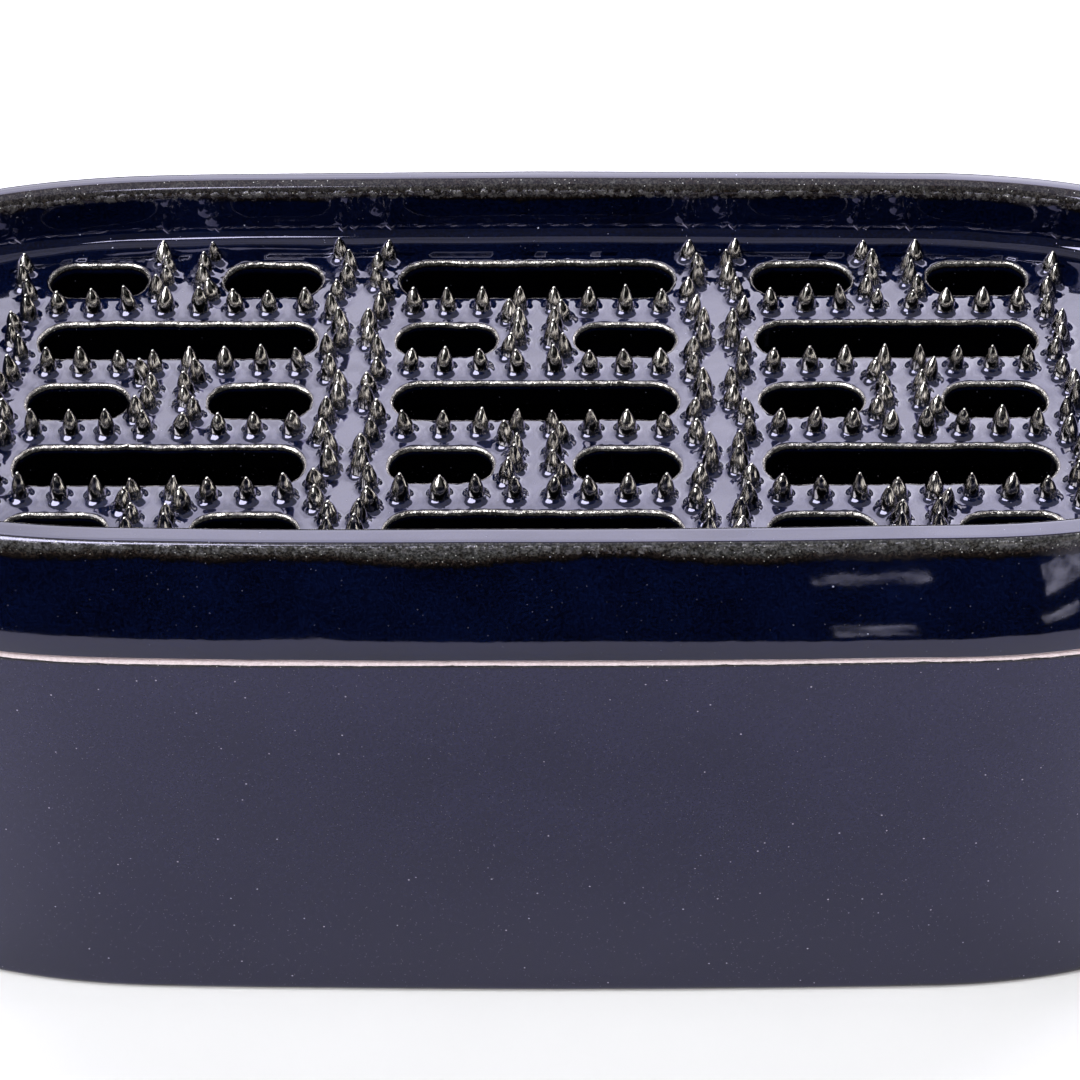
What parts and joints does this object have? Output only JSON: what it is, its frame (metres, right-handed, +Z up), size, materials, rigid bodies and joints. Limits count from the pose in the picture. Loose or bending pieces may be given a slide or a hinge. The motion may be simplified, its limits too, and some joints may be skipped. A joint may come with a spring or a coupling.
{
  "type": "flower frog",
  "caption": "Rounded rectangular glazed stoneware reservoir with a lift-off tray whose recessed plate has stem slots and small clay spikes.",
  "frame": {"origin": "centre of the underside of the reservoir, on the table", "axes": "+X along the length, +Y across towards the back, +Z up"},
  "size_m": [0.2552, 0.1068, 0.1074],
  "materials": {
    "reservoir_glaze": "glossy navy glaze over speckled stoneware; the ledge and the underside are bare buff clay",
    "tray_glaze": "high gloss navy glaze that breaks to olive bronze on edges",
    "spike_glaze": "glossy bronze-black glaze, thin over the spikes and pooled blue at their feet"
  },
  "bodies": {
    "reservoir": {"reservoir_floor": "reservoir_glaze", "reservoir_wall": "reservoir_glaze"},
    "frog_tray": {"tray_collar": "tray_glaze", "pierced_plate": "tray_glaze", "locating_flange": "tray_glaze", "web_spikes_left_1": "spike_glaze", "web_spikes_left_2": "spike_glaze", "web_spikes_left_3": "spike_glaze", "web_spikes_left_4": "spike_glaze", "web_spikes_middle_1": "spike_glaze", "web_spikes_middle_2": "spike_glaze", "web_spikes_middle_3": "spike_glaze", "web_spikes_middle_4": "spike_glaze", "web_spikes_right_1": "spike_glaze", "web_spikes_right_2": "spike_glaze", "web_spikes_right_3": "spike_glaze", "web_spikes_right_4": "spike_glaze", "end_spikes_left_1": "spike_glaze", "end_spikes_left_2": "spike_glaze", "end_spikes_left_3": "spike_glaze", "end_spikes_left_4": "spike_glaze", "end_spikes_left_5": "spike_glaze", "end_spikes_middle_1": "spike_glaze", "end_spikes_middle_2": "spike_glaze", "end_spikes_middle_3": "spike_glaze", "end_spikes_middle_4": "spike_glaze", "end_spikes_middle_5": "spike_glaze", "end_spikes_right_1": "spike_glaze", "end_spikes_right_2": "spike_glaze", "end_spikes_right_3": "spike_glaze", "end_spikes_right_4": "spike_glaze", "end_spikes_right_5": "spike_glaze"}
  },
  "joints": [
    {"name": "tray_lift", "type": "slide", "parent": "reservoir", "child": "frog_tray", "axis": [0, 0, 1], "range_m": [0, 0.06]}
  ]
}
